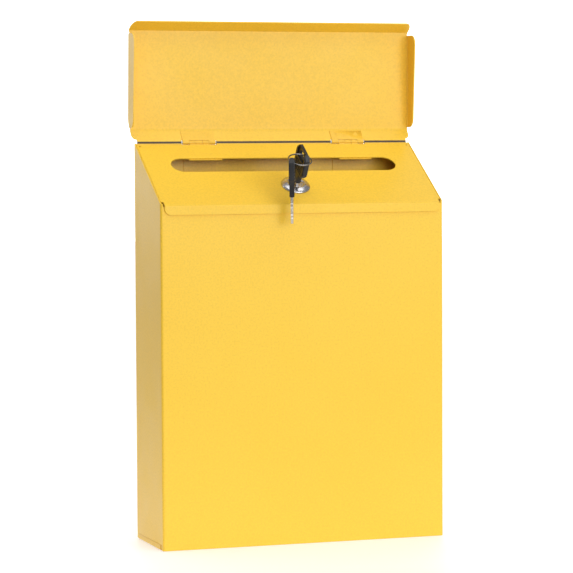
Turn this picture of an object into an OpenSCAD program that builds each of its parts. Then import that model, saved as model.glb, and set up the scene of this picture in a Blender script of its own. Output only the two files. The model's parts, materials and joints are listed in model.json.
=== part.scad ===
// Locking wall letter box: folded sheet body, sloped slotted door, rain lid, cam lock, two keys.
// X is right, Y is back, Z is up. The origin is the centre of the wall-screw pattern on the back face.

/* [Body] */
// Outside width of the body
body_w = 240; // [180:1:320]
// Outside depth of the body
body_d = 75.5; // [50:0.5:120]
// Height of the front bend, where the slope starts
front_h = 275.2; // [200:0.1:360]
// Height of the side walls at the back
rear_h = 323.5; // [240:0.1:420]
// Sheet thickness
sheet_t = 1.0; // [0.6:0.1:2]
// Outside radius of the folded front corners
corner_r = 2.0; // [1.2:0.1:5]
// Height of the flush rim of the bottom pan
rim_h = 4.2; // [3:0.1:10]

/* [Wall fixing] */
// Distance between the wall holes across
hole_dx = 180; // [100:1:220]
// Distance between the wall holes up and down
hole_dz = 200; // [100:1:260]
// Radius of a wall hole
hole_r = 3.25; // [2:0.05:5]
// Height of the pattern's centre above the base
hole_z = 160; // [120:1:200]

/* [Door] */
// Slope of the door plate above the horizontal
door_a = 32.6; // [20:0.1:45]
// Distance of the door plate's rear edge behind the front face
door_y = 74.2; // [60:0.1:120]
// Depth of the folded side flanges
door_flange = 12; // [5:0.5:20]
// Height of the lower edge of the front lip
lip_z = 267; // [255:0.1:272]
// Half the width of the front lip
lip_hw = 116.8; // [100:0.1:118]
// Half the length of the mail slot
slot_hl = 96.8; // [60:0.1:105]
// Width of the mail slot up the slope
slot_w = 20; // [10:0.5:35]
// Distance of the slot's centre line up the slope
slot_s = 57; // [45:0.1:70]

/* [Lid] */
// Half the width of the lid
lid_hw = 122.4; // [121.5:0.1:130]
// Distance of the lid panel's inner face behind the front face, when open
lid_y = 82.5; // [80:0.1:90]
// Height of the crease between band and panel
crease_z = 333.5; // [330:0.1:340]
// Height of the top of the lid panel, when open
lid_top = 415.6; // [400:0.1:430]
// Length of the lid's front lip
lid_lip = 12.5; // [8:0.1:20]
// Rise of the lid's lip above the horizontal
lid_lip_a = 32.5; // [20:0.1:45]
// Depth of the lid's side flange near the lip
fl_top = 17; // [12:0.1:22]
// Depth of the lid's side flange near the hinge
fl_low = 12.5; // [10:0.1:20]

/* [Hinges] */
// Distance of each hinge from the middle
hinge_x = 65; // [40:0.5:95]
// Width of a hinge
hinge_w = 28; // [20:0.5:40]
// Distance of the hinge line behind the front face
ax_y = 76.1; // [70:0.1:78]
// Height of the hinge line
ax_z = 324.0; // [320:0.1:330]
// Outside radius of a knuckle
kn_r = 1.75; // [1.5:0.05:4]
// Radius of a hinge pin
pin_r = 0.9; // [0.6:0.05:2]
// Thickness of a hinge leaf
leaf_t = 0.6; // [0.5:0.1:1.5]

/* [Lock] */
// Distance of the lock's centre up the slope
lock_s = 25.5; // [18:0.1:35]
// Radius of the lock's bezel
bezel_r = 12; // [10:0.1:15]
// Radius of the threaded barrel
barrel_r = 9.4; // [8:0.1:11]
// Distance across the barrel's flats
barrel_flat = 16; // [13:0.1:18]
// Depth of the barrel below the door
barrel_l = 18; // [12:0.1:22]
// Radius of the plug
plug_r = 6.0; // [5:0.1:7]
// Running clearance of the plug
plug_gap = 0.05; // [0.02:0.01:0.1]
// Length of the cam from the lock's centre
cam_l = 30; // [24:0.5:34]

/* [Keys] */
// Width of a key blade
blade_w = 7.2; // [6:0.1:9]
// Thickness of a key blade
blade_t = 2.0; // [1.5:0.1:3]
// Length of a key blade
blade_l = 21.4; // [18:0.1:26]
// Width of a key head
head_w = 24; // [18:0.5:30]
// Length of a key head
head_l = 22.5; // [18:0.5:30]
// Length of the moulded neck below the head
neck_l = 8.5; // [4:0.5:14]
// Sideways offset of a key head from its blade
head_off = 3; // [0:0.5:5]
// Thickness of a key head
head_t = 4.6; // [3:0.1:7]
// Radius of the ring's wire
wire_r = 0.6; // [0.4:0.05:1]
// Turn of the spare key about the vertical
spare_turn = -20.8; // [-45:0.1:45]

/* [Hidden] */
e = 0.01;
t = sheet_t;
hw = body_w / 2;
slope_a = atan((rear_h - front_h) / body_d);
sa = sin(door_a);
ca = cos(door_a);
back_top = 323.3;
// inner face of the lid's hem, which hangs behind the back panel
hem_y = 75.65;
hem_low = 322.2;
// direction of the lid's band, and its length down to the hinge line
band_a = 50.5;
band_l = (lid_y - ax_y) * cos(band_a) + (crease_z - ax_z) * sin(band_a);
door_hw = hw - t - 0.3;
notch_y = 73.6;
lip_gap = 0.3;
cam_top = -barrel_l - 0.8;
root_n = 5.5;
hole_k = neck_l + head_l - 5;
// where the ring passes through the two key heads
p1 = [0, 1.55, 313.64];
p2 = [-13.47, -9.32, 307.86];
chord = p2 - p1;
cdir = chord / norm(chord);
ed0 = [1, 0, 0] - cdir[0] * cdir;
edir = ed0 / norm(ed0);
ring_g = 13.48;
ring_r = norm(chord) / 2 / cos(ring_g);
ring_c = (p1 + p2) / 2 + edir * ring_r * sin(ring_g);
ring_n = cross(cdir, edir);
yellow = [0.96, 0.76, 0.18];
steel = [0.72, 0.73, 0.74];
black = [0.06, 0.06, 0.065];

// ---- frames ----

module place() {
  translate([0, -body_d, -hole_z]) children();
}

module door_frame() {
  place() translate([0, 0, front_h]) rotate([door_a, 0, 0]) children();
}

module lock_frame() {
  door_frame() translate([0, lock_s, 0]) children();
}

module at_hinge(side) {
  place() translate([side * hinge_x, ax_y, ax_z]) children();
}

// everything above the sloping top of the side walls
module above_slope() {
  translate([0, 0, front_h]) rotate([slope_a, 0, 0])
    translate([-hw - 50, -60, 0]) cube([body_w + 100, 260, 200]);
}

// from the crease down the lid's band; the band's sheet is on the +Z side
module band_frame() {
  place() translate([0, lid_y, crease_z]) rotate([180 + band_a, 0, 0]) children();
}

// from the top crease along the lid's lip; the lip's sheet is on the -Z side
module lid_lip_frame() {
  place() translate([0, lid_y, lid_top]) rotate([180 - lid_lip_a, 0, 0]) children();
}

// a side view in Y-Z, swept along X
module side_sweep(x0, x1) {
  place() translate([x0, 0, 0]) rotate([90, 0, 90]) linear_extrude(height = x1 - x0) children();
}

// a front view in X-Z, swept along Y
module front_sweep() {
  place() translate([0, 150, 0]) rotate([90, 0, 0]) linear_extrude(height = 200) children();
}

function arc(y, z, r, a0, a1, n) =
  [for (i = [0:n]) [y + r * cos(a0 + (a1 - a0) * i / n), z + r * sin(a0 + (a1 - a0) * i / n)]];

module xcyl(r, x0, x1, n = 40) {
  translate([x0, 0, 0]) rotate([0, 90, 0]) cylinder(r = r, h = x1 - x0, $fn = n);
}

// ---- body ----

module wrap_outline() {
  difference() {
    union() {
      translate([-hw + corner_r, 0]) square([body_w - 2 * corner_r, body_d]);
      translate([-hw, corner_r]) square([body_w, body_d - corner_r]);
      for (s = [-1, 1]) translate([s * (hw - corner_r), corner_r]) circle(corner_r, $fn = 40);
    }
    translate([-hw + corner_r, t]) square([body_w - 2 * corner_r, body_d]);
    translate([-hw + t, corner_r]) square([body_w - 2 * t, body_d]);
    for (s = [-1, 1]) translate([s * (hw - corner_r), corner_r]) circle(corner_r - t, $fn = 40);
  }
}

module body_wrap() {
  color(yellow) place() difference() {
    linear_extrude(height = rear_h + 5) wrap_outline();
    above_slope();
    // the front wall stops just under the door plate
    translate([-hw + corner_r, -5, front_h - 1.6]) cube([body_w - 2 * corner_r, 8, 60]);
    // the side walls stop above the bottom pan's rim, with a slanted end at the front corner
    for (s = [-1, 1]) scale([s, 1, 1]) {
      translate([hw - 4, 5, -1]) cube([8, body_d, rim_h + 1.2]);
      translate([hw - 4, 2.4, -1]) rotate([-32, 0, 0]) cube([8, 8, 3.9]);
    }
  }
}

module back_panel() {
  color(yellow) place() difference() {
    union() {
      translate([-hw + t, body_d - t, rim_h + 0.4]) cube([body_w - 2 * t, t, back_top - rim_h - 0.4]);
      for (s = [-1, 1]) scale([s, 1, 1]) {
        translate([hw - 2 * t, body_d - 13, 22]) cube([t, 13, 276]);
      }
    }
    // room for the hinge knuckles over the top edge
    for (s = [-1, 1]) translate([s * hinge_x - hinge_w / 2 - 1, body_d - 5, ax_z - kn_r - 0.3])
      cube([hinge_w + 2, 10, 10]);
    for (x = [-1, 1], z = [-1, 1])
      translate([x * hole_dx / 2, body_d - 5, hole_z + z * hole_dz / 2])
        rotate([-90, 0, 0]) cylinder(r = hole_r, h = 10, $fn = 48);
  }
}

module bottom_pan() {
  color(yellow) place() {
    union() {
      translate([-hw + t + 0.02, 2.4, 0]) cube([body_w - 2 * t - 0.04, body_d - 2.4, t]);
      translate([-hw + 3, t + 0.1, 0]) cube([body_w - 6, 4, t]);
      translate([-hw + t, body_d - t, 0]) cube([body_w - 2 * t, t, rim_h]);
      translate([-hw + 3, t, 0]) cube([body_w - 6, t, 14]);
      translate([-hw + 3, body_d - 2 * t, 0]) cube([body_w - 6, t, 18]);
      for (s = [-1, 1]) scale([s, 1, 1]) {
        translate([hw - t, 8, t]) cube([t, body_d - 8, rim_h - t]);
        translate([hw - t, 8, t]) rotate([-90, 0, 0]) cylinder(r = t, h = body_d - 8, $fn = 32);
        translate([hw - 2 * t, 4, 0]) cube([t, body_d - 6, 18]);
      }
    }
  }
}

module lock_strike() {
  // underside of the ledge, parallel to the door, just above the cam
  function under(y) = front_h + y * tan(door_a) + (-barrel_l + 0.1) / ca;
  color(yellow) side_sweep(-15, 15) polygon([
    [t, 244], [2 * t, 244], [2 * t, under(2 * t)], [10, under(10)],
    [10, under(10) + t / ca], [t, under(t) + t / ca]]);
}

// ---- hinges: body, door and lid leaves share each pin ----

module hinge_body_leaf(side) {
  // the leaf lies on the back panel's inner face, and one tab passes over its top edge
  ly = body_d - t - leaf_t - ax_y;
  color(yellow) at_hinge(side) difference() {
    union() {
      xcyl(kn_r, -2.8, 2.8);
      translate([-2.8, ly, -7]) cube([5.6, leaf_t, 5.9]);
      translate([-2.8, ly, -1.7]) cube([5.6, -ly, 0.6]);
      translate([-hinge_w / 2, ly, -26]) cube([hinge_w, leaf_t, 20]);
    }
    xcyl(pin_r + 0.02, -10, 10);
  }
}

module hinge_door_leaf(side) {
  // the leaf lies under the door plate, and two tabs rise behind the plate's rear edge
  ly = notch_y + 0.02 - ax_y;
  color(yellow) difference() {
    union() {
      at_hinge(side) for (x = [-8.4, 3]) {
        xcyl(kn_r, x, x + 5.4);
        translate([x, ly, -3.6]) cube([5.4, leaf_t, 2.5]);
        translate([x, ly, -1.7]) cube([5.4, -ly, 0.6]);
      }
      door_frame() translate([side * hinge_x - hinge_w / 2, 66, -t - leaf_t - 0.01])
        cube([hinge_w, 19.8, leaf_t]);
      door_frame() for (x = [-8.4, 3])
        translate([side * hinge_x + x, 80, -t - leaf_t - 0.01]) cube([5.4, 9, leaf_t]);
    }
    at_hinge(side) xcyl(pin_r + 0.05, -20, 20);
    // trim behind the tabs, clear of the back panel
    at_hinge(side) translate([-20, ly + leaf_t, -20]) cube([40, 8, 18.2]);
  }
}

module hinge_lid_leaf(side) {
  color(yellow) difference() {
    union() {
      at_hinge(side) for (x = [-14, 8.6]) xcyl(kn_r, x, x + 5.4);
      band_frame() for (x = [-14, 8.6])
        translate([side * hinge_x + x, 4, -leaf_t]) cube([5.4, band_l - 4, leaf_t - 0.01]);
      band_frame()
        translate([side * hinge_x - hinge_w / 2, 0.9, -leaf_t]) cube([hinge_w, band_l - 2, leaf_t - 0.01]);
    }
    at_hinge(side) xcyl(pin_r + 0.05, -20, 20);
    // room for the middle knuckles
    at_hinge(side) xcyl(kn_r + 0.3, -8.5, 8.5);
  }
}

module hinge_pin(side) {
  color(steel) at_hinge(side) {
    xcyl(pin_r, -hinge_w / 2 - 0.2, hinge_w / 2 + 0.2);
    for (s = [-1, 1]) scale([s, 1, 1]) {
      xcyl(1.4, hinge_w / 2 + 0.15, hinge_w / 2 + 0.6);
    }
  }
}

module hinge_body_leaf_l() { hinge_body_leaf(-1); }
module hinge_body_leaf_r() { hinge_body_leaf(1); }
module hinge_door_leaf_l() { hinge_door_leaf(-1); }
module hinge_door_leaf_r() { hinge_door_leaf(1); }
module hinge_lid_leaf_l() { hinge_lid_leaf(-1); }
module hinge_lid_leaf_r() { hinge_lid_leaf(1); }
module hinge_pin_l() { hinge_pin(-1); }
module hinge_pin_r() { hinge_pin(1); }

// ---- door ----

// front view of the door: full width above the relief slits, rounded lip below
module door_front() {
  translate([-door_hw, front_h + 2]) square([2 * door_hw, 100]);
  translate([-lip_hw, lip_z + 5]) square([2 * lip_hw, front_h - lip_z]);
  translate([-lip_hw + 5, lip_z - 1]) square([2 * lip_hw - 10, 10]);
  for (s = [-1, 1]) translate([s * (lip_hw - 5), lip_z + 5]) circle(5.01, $fn = 40);
}

module slot_cut(hl, w, h) {
  translate([-hl + w / 2, -w / 2, -h / 2]) cube([2 * hl - w, w, h]);
  for (s = [-1, 1]) translate([s * (hl - w / 2), 0, -h / 2]) cylinder(r = w / 2, h = h, $fn = 48);
}

module barrel_shape(r, flat, h) {
  intersection() {
    cylinder(r = r, h = h, $fn = 64);
    translate([-flat / 2, -20, -1]) cube([flat, 40, h + 2]);
  }
}

module door_plate() {
  iy = -lip_gap;
  iz = front_h + iy * tan(door_a) - t / ca;
  color(yellow) difference() {
    union() {
      intersection() {
        side_sweep(-door_hw, door_hw) polygon(concat(
          [[iy - t, lip_z], [iy, lip_z], [iy, iz],
            [door_y, front_h + door_y * sa / ca - t / ca], [door_y, front_h + door_y * sa / ca]],
          arc(iy, iz, t, 90 + door_a, 180, 6)));
        front_sweep() door_front();
      }
      // side flanges
      for (s = [-1, 1]) scale([s, 1, 1]) place() translate([0, 0, front_h]) rotate([door_a, 0, 0])
        translate([door_hw - t - 0.05, 0, 0]) rotate([90, 0, 90]) linear_extrude(height = t)
          polygon([[4, -0.5], [4, -3], [4 + door_flange - 3, -door_flange], [78.5, -door_flange], [84, -0.5]]);
    }
    door_frame() {
      translate([0, slot_s, 0]) slot_cut(slot_hl, slot_w, 6);
      translate([0, lock_s, -3]) barrel_shape(barrel_r + 0.1, barrel_flat + 0.2, 8);
      for (s = [-1, 1]) translate([s * 116.4, 85.2, -5]) cylinder(r = 0.8, h = 8, $fn = 24);
    }
    // room for the hinges
    place() for (s = [-1, 1]) translate([s * hinge_x - hinge_w / 2 - 1, notch_y, 310])
      cube([hinge_w + 2, 9, 30]);
  }
}

// ---- lock ----

module lock_barrel() {
  color(steel) lock_frame() {
    rotate_extrude($fn = 64) polygon([
      [plug_r + plug_gap, 0.02], [bezel_r, 0.02], [bezel_r, 0.7], [bezel_r - 0.35, 1.2],
      [bezel_r - 1.1, 1.75], [bezel_r - 2.4, 2.35], [bezel_r - 3.8, 2.75], [plug_r + 1.2, 2.9],
      [plug_r + 0.6, 2.8], [plug_r + plug_gap, 2.3]]);
    difference() {
      translate([0, 0, -barrel_l]) barrel_shape(barrel_r, barrel_flat, barrel_l + 0.5);
      translate([0, 0, -barrel_l - 1]) cylinder(r = plug_r + plug_gap, h = barrel_l + 3, $fn = 48);
    }
  }
}

module lock_washer() {
  color(steel) lock_frame() difference() {
    translate([0, 0, -t - 0.85]) cylinder(r = 12.6, h = 0.8, $fn = 64);
    translate([0, 0, -t - 2]) cylinder(r = barrel_r + 0.4, h = 4, $fn = 64);
  }
}

module lock_nut() {
  color(steel) lock_frame() difference() {
    translate([0, 0, -t - 4.7]) cylinder(r = 13.4, h = 3.8, $fn = 6);
    translate([0, 0, -t - 6]) cylinder(r = barrel_r + 0.05, h = 8, $fn = 64);
  }
}

module lock_plug() {
  color(steel) lock_frame() difference() {
    union() {
      translate([0, 0, cam_top + 0.05]) cylinder(r = plug_r, h = 2.2 - cam_top - 0.05, $fn = 48);
      translate([-3.95, -3.95, cam_top - 1.75]) cube([7.9, 7.9, 2]);
      translate([0, 0, cam_top - 5.6]) cylinder(r = 2.5, h = 4, $fn = 32);
    }
    translate([-blade_t / 2 - 0.15, -blade_w / 2 - 0.2, -barrel_l + 0.8])
      cube([blade_t + 0.3, blade_w + 0.4, barrel_l + 3]);
    for (i = [0:4]) translate([-3.6, -8, -3.6 - 2.6 * i]) cube([7.2, 16, 1.1]);
  }
}

module lock_wafers() {
  color([0.78, 0.62, 0.3]) lock_frame() for (i = [0:4]) difference() {
    translate([0, 0, -3.55 - 2.6 * i]) intersection() {
      cylinder(r = plug_r - 0.1, h = 1, $fn = 48);
      translate([-3.5, -6, -1]) cube([7, 12, 3]);
    }
    translate([-blade_t / 2 - 0.25, -blade_w / 2 - 0.3, -20]) cube([blade_t + 0.5, blade_w + 0.6, 30]);
  }
}

module lock_cam() {
  color(steel) lock_frame() rotate([0, 0, -90]) difference() {
    union() {
      translate([0, 0, cam_top - 1.8]) cylinder(r = 8, h = 1.8, $fn = 48);
      translate([-7, -cam_l + 7, cam_top - 1.8]) cube([14, cam_l - 7, 1.8]);
      translate([0, -cam_l + 7, cam_top - 1.8]) cylinder(r = 7, h = 1.8, $fn = 48);
    }
    translate([-4, -4, cam_top - 3]) cube([8, 8, 5]);
  }
}

module cam_washer() {
  color(steel) lock_frame() difference() {
    translate([0, 0, cam_top - 2.65]) cylinder(r = 6.2, h = 0.8, $fn = 48);
    translate([0, 0, cam_top - 4]) cylinder(r = 2.9, h = 4, $fn = 32);
  }
}

module cam_nut() {
  color(steel) lock_frame() difference() {
    translate([0, 0, cam_top - 5.2]) cylinder(r = 4.6, h = 2.5, $fn = 6);
    translate([0, 0, cam_top - 6]) cylinder(r = 2.55, h = 6, $fn = 32);
  }
}

// ---- lid ----

module lid_flange() {
  // side view of the flange in Y-Z, swept along X
  zl = crease_z + 2.5;
  zh = lid_top - 2.5;
  r = 8;
  rotate([90, 0, 90]) linear_extrude(height = t) hull() {
    translate([lid_y - 1, zl]) square([1.3, zh - zl]);
    translate([lid_y - fl_low + r, zl + r]) circle(r, $fn = 32);
    translate([lid_y - fl_top + r, zh - r]) circle(r, $fn = 32);
  }
}

// front view of the lid: rounded lip corners above, rounded band corners below
module lid_front() {
  iw = lid_hw - t;
  lw = iw + 0.5;
  zt = lid_top + lid_lip * sin(lid_lip_a) + 1;
  translate([-iw, crease_z - 3]) square([2 * iw, lid_top - crease_z + 3]);
  translate([-lw, lid_top - 1]) square([2 * lw, zt - lid_top - 5]);
  translate([-lw + 6, lid_top - 1]) square([2 * lw - 12, 30]);
  translate([-iw + 4, 300]) square([2 * iw - 8, 50]);
  for (s = [-1, 1]) {
    translate([s * (lw - 6), zt - 6]) circle(6.01, $fn = 48);
    translate([s * (iw - 4), crease_z - 3]) circle(4.01, $fn = 40);
  }
}

module lid_sheet() {
  iw = lid_hw - t;
  cl = cos(lid_lip_a);
  sl = sin(lid_lip_a);
  sb = sin(band_a);
  cb = cos(band_a);
  zc = crease_z - (lid_y - hem_y) * sb / cb;
  intersection() {
    side_sweep(-iw - 1, iw + 1) polygon(concat(
      [[lid_y - lid_lip * cl, lid_top + lid_lip * sl], [lid_y, lid_top], [lid_y, crease_z],
        [hem_y + 0.16, zc + 0.19], [hem_y, zc - 0.25], [hem_y, hem_low], [hem_y + t, hem_low],
        [hem_y + t, crease_z - t * cb - (lid_y + t * sb - hem_y - t) * sb / cb]],
      arc(lid_y, crease_z, t, band_a - 90, 0, 4),
      arc(lid_y, lid_top, t, 0, 90 - lid_lip_a, 5),
      [[lid_y - lid_lip * cl + t * sl, lid_top + lid_lip * sl + t * cl]]));
    front_sweep() lid_front();
  }
  for (s = [-1, 1]) scale([s, 1, 1]) place() {
    translate([iw - 0.02, 0, 0]) lid_flange();
    translate([iw - 0.02, lid_y, crease_z + 2.6])
      cylinder(r = t - 0.03, h = lid_top - crease_z - 5.2, $fn = 32);
  }
}

module lid_panel() {
  color(yellow) difference() {
    lid_sheet();
    // room for the hinges
    for (s = [-1, 1]) at_hinge(s) xcyl(kn_r + 0.3, -hinge_w / 2 - 1, hinge_w / 2 + 1);
  }
}

// ---- keys: X is thickness, Y is width, Z runs from the blade's root into the head ----

module blade() {
  h = blade_w / 2;
  translate([-blade_t / 2, 0, 0]) rotate([90, 0, 90]) linear_extrude(height = blade_t) polygon([
    [-2.6, 9], [2.6, 9], [2.6, 1], [h, 0], [h, -3.5], [h - 1.1, -4.6], [h - 0.2, -5.8],
    [h - 1.4, -7.4], [h - 0.1, -9], [h - 0.9, -10.4], [h - 0.2, -11.8], [h - 1.5, -13.4],
    [h - 0.4, -15], [h - 1.1, -16.4], [h - 0.2, -17.8], [h - 0.9, -19.4], [1.2, -blade_l],
    [-1.2, -blade_l], [-h + 0.9, -19.4], [-h + 0.2, -17.8], [-h + 1.1, -16.4], [-h + 0.4, -15],
    [-h + 1.5, -13.4], [-h + 0.2, -11.8], [-h + 0.9, -10.4], [-h + 0.1, -9], [-h + 1.4, -7.4],
    [-h + 0.2, -5.8], [-h + 1.1, -4.6], [-h, -3.5], [-h, 0], [-2.6, 1]]);
}

module head_plate(grow, th) {
  w = head_w / 2 + grow;
  lo = neck_l - grow;
  hi = neck_l + head_l + grow;
  c = 4.2;
  translate([-th / 2, head_off, 0]) rotate([90, 0, 90]) linear_extrude(height = th) polygon([
    [-w, lo + c], [-w + c, lo], [w - c, lo], [w, lo + c],
    [w, hi - c], [w - c, hi], [-w + c, hi], [-w, hi - c]]);
}

module head() {
  difference() {
    union() {
      head_plate(0, head_t - 1.2);
      head_plate(-0.8, head_t);
      // tapered neck
      translate([-1.9, 0, 0]) rotate([90, 0, 90]) linear_extrude(height = 3.8)
        polygon([[-4.6, 0.02], [4.6, 0.02], [6.5, neck_l + 1], [-5.5, neck_l + 1]]);
      translate([-1.7, -4.4, -0.5]) cube([3.4, 8.8, 1]);
    }
    translate([-blade_t / 2 - 0.02, -2.62, 0]) cube([blade_t + 0.04, 5.24, 9.02]);
    translate([-blade_t / 2 - 0.02, -blade_w / 2 - 0.02, -2]) cube([blade_t + 0.04, blade_w + 0.04, 3.1]);
    // ring hole with a thinned web round it
    for (y = [-2, 2]) translate([-10, head_off + y, hole_k]) rotate([0, 90, 0])
      cylinder(r = 3, h = 20, $fn = 40);
    translate([-10, head_off - 2, hole_k - 3]) cube([20, 4, 6]);
    for (s = [-1, 1]) scale([s, 1, 1]) translate([1.1, head_off - 8.2, hole_k - 4]) cube([6, 16.4, 12]);
    // moulded grip panel on each face
    for (s = [-1, 1]) scale([s, 1, 1])
      translate([head_t / 2 - 0.6, head_off - 7.5, neck_l + 2.6]) cube([3, 15, 9]);
  }
  for (s = [-1, 1], z = [4.4, 7.1, 9.8]) scale([s, 1, 1])
    translate([head_t / 2 - 0.8, head_off - 6.4, neck_l + z - 0.6]) cube([0.7, 12.8, 1.2]);
}

module key_frame() {
  lock_frame() translate([0, 0, root_n]) rotate([0, 0, 180]) children();
}

module key_blade() {
  color(steel) key_frame() blade();
}

module key_head() {
  color(black) key_frame() head();
}

module spare_frame() {
  place() translate(p2) rotate([0, 0, spare_turn]) translate([0, 0.22 - head_off, -hole_k - 1.22])
    children();
}

module spare_blade() {
  color(steel) spare_frame() blade();
}

module spare_head() {
  color(black) spare_frame() head();
}

module key_ring() {
  color(steel) place() translate(ring_c)
    rotate([0, acos(ring_n[2]), atan2(ring_n[1], ring_n[0])])
      rotate_extrude($fn = 64) translate([ring_r, 0]) circle(wire_r, $fn = 24);
}

// ---- build ----

body_wrap();
back_panel();
bottom_pan();
lock_strike();
hinge_body_leaf_l();
hinge_body_leaf_r();
hinge_pin_l();
hinge_pin_r();
door_plate();
hinge_door_leaf_l();
hinge_door_leaf_r();
lock_barrel();
lock_washer();
lock_nut();
lock_plug();
lock_wafers();
lock_cam();
cam_washer();
cam_nut();
lid_panel();
hinge_lid_leaf_l();
hinge_lid_leaf_r();
key_blade();
key_head();
key_ring();
spare_blade();
spare_head();
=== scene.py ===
import json
import math

import bpy
from mathutils import Matrix, Vector


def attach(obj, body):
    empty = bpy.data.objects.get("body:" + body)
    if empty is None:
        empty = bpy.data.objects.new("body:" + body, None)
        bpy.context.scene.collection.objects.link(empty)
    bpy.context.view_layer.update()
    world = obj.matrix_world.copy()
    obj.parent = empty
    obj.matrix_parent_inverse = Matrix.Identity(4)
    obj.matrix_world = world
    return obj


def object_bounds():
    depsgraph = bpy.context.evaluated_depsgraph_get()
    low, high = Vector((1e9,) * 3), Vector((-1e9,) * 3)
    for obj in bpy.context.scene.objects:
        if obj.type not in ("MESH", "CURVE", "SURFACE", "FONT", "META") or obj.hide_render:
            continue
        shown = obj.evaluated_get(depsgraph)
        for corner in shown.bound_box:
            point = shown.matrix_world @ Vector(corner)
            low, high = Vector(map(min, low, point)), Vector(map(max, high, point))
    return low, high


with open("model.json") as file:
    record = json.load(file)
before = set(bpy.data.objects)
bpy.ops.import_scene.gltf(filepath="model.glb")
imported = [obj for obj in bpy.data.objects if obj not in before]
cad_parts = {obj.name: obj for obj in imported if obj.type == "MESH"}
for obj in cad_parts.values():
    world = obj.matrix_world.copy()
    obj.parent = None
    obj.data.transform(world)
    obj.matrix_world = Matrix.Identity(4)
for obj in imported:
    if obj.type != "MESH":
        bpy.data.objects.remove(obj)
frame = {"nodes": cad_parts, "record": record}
SIZE_CAD = [list(v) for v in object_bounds()]
nodes = frame["nodes"]


# ---------------------------------------------------------------- node helpers

def new_material(name, **values):
    m = bpy.data.materials.new(name)
    m.use_nodes = True
    shader = m.node_tree.nodes["Principled BSDF"]
    for socket, value in values.items():
        shader.inputs[socket].default_value = value
    return m, m.node_tree, shader


def noise(tree, scale, detail):
    """Noise in the object's own coordinates, with the scale in features per metre."""
    coord = tree.nodes.new("ShaderNodeTexCoord")
    n = tree.nodes.new("ShaderNodeTexNoise")
    n.inputs["Scale"].default_value = scale
    n.inputs["Detail"].default_value = detail
    n.inputs["Roughness"].default_value = 0.55
    tree.links.new(coord.outputs["Object"], n.inputs["Vector"])
    return n.outputs["Fac"]


def ramp(tree, value, stops):
    """Colours along a value, given as (position, colour) pairs."""
    r = tree.nodes.new("ShaderNodeValToRGB")
    elements = r.color_ramp.elements
    while len(elements) < len(stops):
        elements.new(0.5)
    for element, (position, colour) in zip(elements, stops):
        element.position = position
        element.color = (*colour, 1)
    tree.links.new(value, r.inputs["Fac"])
    return r.outputs["Color"]


def spread(tree, value, to_low, to_high, from_low=0.3, from_high=0.7):
    """Map a value's range onto another one; most noise lies between 0.3 and 0.7."""
    m = tree.nodes.new("ShaderNodeMapRange")
    m.inputs["From Min"].default_value = from_low
    m.inputs["From Max"].default_value = from_high
    m.inputs["To Min"].default_value = to_low
    m.inputs["To Max"].default_value = to_high
    tree.links.new(value, m.inputs["Value"])
    return m.outputs["Result"]


def bump(tree, shader, height, strength, distance):
    b = tree.nodes.new("ShaderNodeBump")
    b.inputs["Strength"].default_value = strength
    b.inputs["Distance"].default_value = distance
    tree.links.new(height, b.inputs["Height"])
    tree.links.new(b.outputs["Normal"], shader.inputs["Normal"])


def position_parts(tree, node_type, output):
    """X, Y and Z of a position that a coordinate node gives."""
    place = tree.nodes.new(node_type)
    split = tree.nodes.new("ShaderNodeSeparateXYZ")
    tree.links.new(place.outputs[output], split.inputs["Vector"])
    return split.outputs


# ---------------------------------------------------------------- materials

def coat(name, light, dark, rough=(0.30, 0.42), peel=0.10):
    """Powder coat: slow colour drift, fine speckle, uneven gloss and orange peel."""
    m, tree, shader = new_material(name, **{
        "Coat Weight": 0.08, "Coat Roughness": 0.2, "IOR": 1.5, "Specular IOR Level": 0.32})
    tone = ramp(tree, noise(tree, 9.0, 5), [(0.3, dark), (0.7, light)])
    speckle = tree.nodes.new("ShaderNodeVectorMath")
    speckle.operation = "SCALE"
    tree.links.new(tone, speckle.inputs[0])
    tree.links.new(spread(tree, noise(tree, 650.0, 3), 0.93, 1.06), speckle.inputs["Scale"])
    tree.links.new(speckle.outputs["Vector"], shader.inputs["Base Color"])
    tree.links.new(spread(tree, noise(tree, 30.0, 6), *rough), shader.inputs["Roughness"])
    bump(tree, shader, noise(tree, 900.0, 2), peel, 0.0004)
    return m


def metal(name, colour, rough, grain=(1, 1, 30), strength=0.08):
    """Plated or brushed metal with fine directional grain and duller patches."""
    m, tree, shader = new_material(name, Metallic=1.0)
    coord = tree.nodes.new("ShaderNodeTexCoord")
    mapping = tree.nodes.new("ShaderNodeMapping")
    mapping.inputs["Scale"].default_value = grain
    tree.links.new(coord.outputs["Object"], mapping.inputs["Vector"])
    fine = tree.nodes.new("ShaderNodeTexNoise")
    fine.inputs["Scale"].default_value = 400.0
    fine.inputs["Detail"].default_value = 3.0
    tree.links.new(mapping.outputs["Vector"], fine.inputs["Vector"])
    dull = tuple(c * 0.82 for c in colour)
    tone = ramp(tree, noise(tree, 160.0, 4), [(0.35, dull), (0.65, colour)])
    tree.links.new(tone, shader.inputs["Base Color"])
    tree.links.new(spread(tree, fine.outputs["Fac"], *rough), shader.inputs["Roughness"])
    bump(tree, shader, fine.outputs["Fac"], strength, 0.0002)
    return m


def moulded(name, colour, rough):
    """Moulded plastic with a fine texture and slightly paler, handled patches."""
    m, tree, shader = new_material(name, IOR=1.5)
    pale = tuple(c * 1.6 + 0.004 for c in colour)
    tone = ramp(tree, noise(tree, 120.0, 5), [(0.4, colour), (0.75, pale)])
    tree.links.new(tone, shader.inputs["Base Color"])
    tree.links.new(spread(tree, noise(tree, 250.0, 4), *rough), shader.inputs["Roughness"])
    bump(tree, shader, noise(tree, 1800.0, 2), 0.12, 0.0002)
    return m


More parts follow.
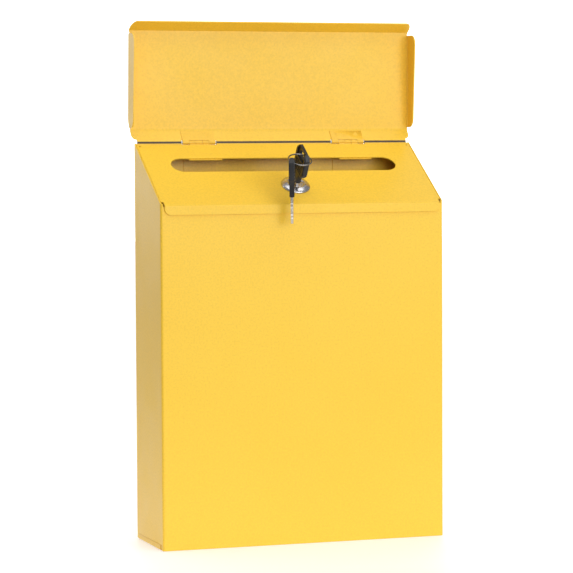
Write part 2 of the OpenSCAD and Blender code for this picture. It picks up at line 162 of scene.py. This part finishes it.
def painted_shade_below(material, level, blend, colour):
    """Painted shade on the part of a sheet that lies below a height in the sheet's own frame: a dark
    colour that stands in for the shade in a narrow gap.
    """
    tree = material.node_tree
    shader = tree.nodes["Principled BSDF"]
    unshaded = shader.inputs["Base Color"].links[0].from_socket
    height = position_parts(tree, "ShaderNodeTexCoord", "Object")["Z"]
    mix = tree.nodes.new("ShaderNodeMix")
    mix.data_type = "RGBA"
    mix.inputs["B"].default_value = (*colour, 1)
    tree.links.new(spread(tree, height, 1.0, 0.0, level - blend, level + blend), mix.inputs["Factor"])
    tree.links.new(unshaded, mix.inputs["A"])
    tree.links.new(mix.outputs["Result"], shader.inputs["Base Color"])
    return material


def glowing(name, colour, strength):
    """Matt studio paint that also gives off white light."""
    m, tree, shader = new_material(name, Roughness=0.5)
    shader.inputs["Emission Color"].default_value = (1, 1, 1, 1)
    shader.inputs["Emission Strength"].default_value = strength
    tone = ramp(tree, noise(tree, 3.0, 2), [(0.3, colour), (0.7, colour)])
    tree.links.new(tone, shader.inputs["Base Color"])
    return m


YELLOW = (0.93, 0.590, 0.051)
DEEP_YELLOW = (0.915, 0.575, 0.047)
HINGE_YELLOW = (0.87, 0.51, 0.045)
# painted shade: the dark of the gap between the lid's band and the door's rear edge, painted on the
# lid's hem
GAP_SHADE = (0.050, 0.026, 0.002)
HEM_TOP = 0.1650
HEM_BLEND = 0.00008
NO_GRAIN = (1, 1, 1)

MATERIALS = {
    "yellow_coat": coat("yellow_coat", YELLOW, DEEP_YELLOW),
    # the lid's coat is painted dark below HEM_TOP as painted shade for the gap under its band
    "lid_coat": painted_shade_below(coat("lid_coat", YELLOW, DEEP_YELLOW), HEM_TOP, HEM_BLEND, GAP_SHADE),
    "coated_hinge": coat("coated_hinge", YELLOW, HINGE_YELLOW, (0.32, 0.45), 0.18),
    "zinc_steel": metal("zinc_steel", (0.62, 0.62, 0.60), (0.28, 0.42)),
    "nickel": metal("nickel", (0.56, 0.55, 0.56), (0.20, 0.30), NO_GRAIN, 0.03),
    "brass_wafer": metal("brass_wafer", (0.75, 0.55, 0.25), (0.25, 0.38)),
    "key_steel": metal("key_steel", (0.58, 0.55, 0.51), (0.25, 0.40), (1, 1, 12)),
    "ring_wire": metal("ring_wire", (0.26, 0.25, 0.24), (0.22, 0.36)),
    "black_plastic": moulded("black_plastic", (0.006, 0.006, 0.007), (0.36, 0.52)),
}
SLOT = {p["node"]: p["material_slot"] for p in frame["record"]["subparts"]}
# nodes whose look differs from the one that their slot names; the lid panel's look has painted shade
# along its hem
LOOK = {"lid_panel": "lid_coat"}


# ---------------------------------------------------------------- edges of the CAD nodes

SHEET_BEVEL = 0.00018
SMALL_BEVEL = 0.00015
SHEET_SLOTS = ("yellow_coat", "coated_hinge")


def soften_edges(obj, width):
    """Join the mesh's split corners, then round its edges slightly and shade them smoothly."""
    obj.modifiers.new("weld", "WELD").merge_threshold = 0.00001
    bevel = obj.modifiers.new("bevel", "BEVEL")
    bevel.width = width
    bevel.segments = 2
    bevel.limit_method = "ANGLE"
    bevel.angle_limit = math.radians(40)
    bevel.use_clamp_overlap = True
    bevel.harden_normals = False
    for poly in obj.data.polygons:
        poly.use_smooth = True
    obj.modifiers.new("normals", "WEIGHTED_NORMAL").keep_sharp = True


for name, obj in nodes.items():
    obj.data.materials.clear()
    obj.data.materials.append(MATERIALS[LOOK.get(name, SLOT[name])])
    soften_edges(obj, SHEET_BEVEL if SLOT[name] in SHEET_SLOTS else SMALL_BEVEL)


# ---------------------------------------------------------------- added detail

def piece(name, verts, faces, matrix, body, slot, smooth=False):
    """A mesh that moves with a body."""
    mesh = bpy.data.meshes.new(name)
    mesh.from_pydata(verts, [], faces)
    mesh.update()
    o = bpy.data.objects.new(name, mesh)
    bpy.context.scene.collection.objects.link(o)
    o.matrix_world = matrix
    mesh.materials.append(MATERIALS[slot])
    for poly in mesh.polygons:
        poly.use_smooth = smooth
    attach(o, body)
    return o


def thread_ridge(verts, faces, radius, height, z, a0, a1, steps=40):
    """One ridge of a thread round +Z between two angles, with a three-sided section."""
    start = len(verts)
    root = radius - 0.00005
    crest = radius + height * 0.8
    for i in range(steps + 1):
        a = a0 + (a1 - a0) * i / steps
        for r, dz in ((root, -height), (crest, 0), (root, height)):
            verts.append((r * math.cos(a), r * math.sin(a), z + dz))
    for i in range(steps):
        q = start + 3 * i
        for k in range(3):
            n = (k + 1) % 3
            faces.append((q + k, q + n, q + 3 + n, q + 3 + k))
    end = start + 3 * steps
    faces.append((start, start + 2, start + 1))
    faces.append((end, end + 1, end + 2))


def dimple(verts, faces, centre, u, v, normal, radius=0.0017, height=0.00012, steps=24):
    """A spot weld's round mark: a low raised rim with a shallower middle."""
    start = len(verts)
    for r, h in ((1.0, 0.0), (0.8, 1.0), (0.45, 0.5)):
        for i in range(steps):
            a = 2 * math.pi * i / steps
            rim = (u * math.cos(a) + v * math.sin(a)) * radius * r
            verts.append(tuple(centre + rim + normal * height * h))
    verts.append(tuple(centre + normal * height * 0.3))
    for k in range(2):
        q = start + k * steps
        for i in range(steps):
            j = (i + 1) % steps
            faces.append((q + i, q + j, q + steps + j, q + steps + i))
    q = start + 2 * steps
    middle = start + 3 * steps
    for i in range(steps):
        faces.append((q + i, q + (i + 1) % steps, middle))


# thread on the two round sides of the lock barrel, behind the door
BARREL_R = 0.0094
BARREL_FLAT = 0.016
THREAD_TOP = -0.0066
THREAD_PITCH = 0.001
THREAD_TURNS = 11
THREAD_H = 0.00032

plug_turn = next(j for j in frame["record"]["behaviour"]["joints"] if j["name"] == "plug_turn")
plug_axis = plug_turn["axis"]
slope = math.atan2(-plug_axis[1], plug_axis[2])
lock_matrix = Matrix.Translation(Vector(plug_turn["pos_m"])) @ Matrix.Rotation(slope, 4, "X")
flat_angle = math.acos(BARREL_FLAT / 2 / BARREL_R) + 0.03
verts, faces = [], []
for turn in range(THREAD_TURNS):
    z = THREAD_TOP - THREAD_PITCH * turn
    for side_start in (0, math.pi):
        thread_ridge(verts, faces, BARREL_R, THREAD_H, z,
                     side_start + flat_angle, side_start + math.pi - flat_angle)
piece("barrel_thread", verts, faces, lock_matrix, "door", "nickel")

# spot welds on the hinge leaves that lie on the lid's band
BAND_ANGLE = math.radians(50.5)
CREASE = Vector((0, 0.0070, 0.1735))
HINGE_X = 0.065
WELD_X = 0.0085
WELD_BELOW_CREASE = 0.0042
LEAF_FACE = 0.00061

along = Vector((1, 0, 0))
down = Vector((0, -math.cos(BAND_ANGLE), -math.sin(BAND_ANGLE)))
out = Vector((0, -math.sin(BAND_ANGLE), math.cos(BAND_ANGLE)))
weld_row = CREASE + down * WELD_BELOW_CREASE + out * LEAF_FACE
for side, tag in ((-1, "l"), (1, "r")):
    verts, faces = [], []
    for dx in (-WELD_X, WELD_X):
        dimple(verts, faces, weld_row + along * (side * HINGE_X + dx), along, down, out)
    piece("leaf_welds_" + tag, verts, faces, Matrix.Identity(4), "lid", "coated_hinge", True)


# ---------------------------------------------------------------- stage

def card(name, size, where, turn, material):
    bpy.ops.mesh.primitive_plane_add(size=1, location=where, rotation=turn)
    o = bpy.context.object
    o.name = name
    o.scale = (size[0], size[1], 1)
    o.data.materials.append(material)
    return o


def floor_painted_light():
    """A painted pool of light: white and glowing under and behind the box, falling away to grey
    without glow in front of it and on its left.
    """
    white = (0.72, 0.71, 0.70)
    grey = (0.22, 0.21, 0.20)
    glow = 0.36
    m = glowing("floor_painted_light", white, glow)
    tree = m.node_tree
    shader = tree.nodes["Principled BSDF"]
    place = position_parts(tree, "ShaderNodeNewGeometry", "Position")
    both = tree.nodes.new("ShaderNodeMath")
    both.operation = "MULTIPLY"
    tree.links.new(spread(tree, place["X"], 0.0, 1.0, -0.65, -0.22), both.inputs[0])
    tree.links.new(spread(tree, place["Y"], 0.0, 1.0, -0.95, -0.20), both.inputs[1])
    lit = both.outputs["Value"]
    tree.links.new(ramp(tree, lit, [(0.0, grey), (1.0, white)]), shader.inputs["Base Color"])
    # painted light: the floor's glow follows the same fall-off as its whiteness
    tree.links.new(spread(tree, lit, 0.0, glow, 0.0, 1.0), shader.inputs["Emission Strength"])
    return m


def area(name, where, aim, size, power):
    data = bpy.data.lights.new(name, "AREA")
    data.shape = "RECTANGLE"
    data.size, data.size_y = size
    data.energy = power
    o = bpy.data.objects.new(name, data)
    bpy.context.scene.collection.objects.link(o)
    o.location = where
    o.rotation_euler = (Vector(aim) - Vector(where)).to_track_quat("-Z", "Y").to_euler()
    return o


low = min(v[2] for v in SIZE_CAD)
upright = (math.pi / 2, 0, 0)
backdrop_paint = glowing("backdrop_paint", (0.9, 0.9, 0.9), 1.2)
card("floor", (16, 16), (0, 3.0, low - 0.0002), (0, 0, 0), floor_painted_light())
card("backdrop", (16, 9), (0, 6.0, low + 4.0), upright, backdrop_paint)

world = bpy.data.worlds.new("studio")
bpy.context.scene.world = world
world.use_nodes = True
sky = world.node_tree.nodes["Background"]
sky.inputs["Color"].default_value = (1.0, 1.0, 1.0, 1)
sky.inputs["Strength"].default_value = 0.35

area("key_light", (0.40, -2.0, 0.56), (0, 0, 0.1), (1.9, 1.1), 23)
area("left_light", (-0.66, 0.22, 0.55), (-0.12, -0.03, 0.35), (0.3, 0.3), 0.7)
area("top_light", (0.1, -0.5, 1.6), (0, 0, 0.1), (1.6, 1.2), 11)


# ---------------------------------------------------------------- camera

CAMERA = Vector((-0.6882, -2.0469, 0.1665))
YAW, PITCH, ROLL = (math.radians(a) for a in (18.843, -3.245, -0.292))
SENSOR_WIDTH = 36
FOCAL_LENGTH = 163.351

forward = Vector((math.sin(YAW) * math.cos(PITCH), math.cos(YAW) * math.cos(PITCH), math.sin(PITCH)))
level_right = Vector((math.cos(YAW), -math.sin(YAW), 0))
level_up = level_right.cross(forward)
right = level_right * math.cos(ROLL) + level_up * math.sin(ROLL)
up = level_up * math.cos(ROLL) - level_right * math.sin(ROLL)
spin = Matrix((right, up, -forward)).transposed().to_4x4()

cam_data = bpy.data.cameras.new("camera")
cam_data.sensor_width = SENSOR_WIDTH
cam_data.lens = FOCAL_LENGTH
cam_data.clip_start = 0.05
cam_data.clip_end = 50
cam_data.dof.use_dof = False
cam = bpy.data.objects.new("camera", cam_data)
bpy.context.scene.collection.objects.link(cam)
cam.matrix_world = Matrix.Translation(CAMERA) @ spin
bpy.context.scene.camera = cam

view = bpy.context.scene.view_settings
view.view_transform = "Standard"
view.look = "None"
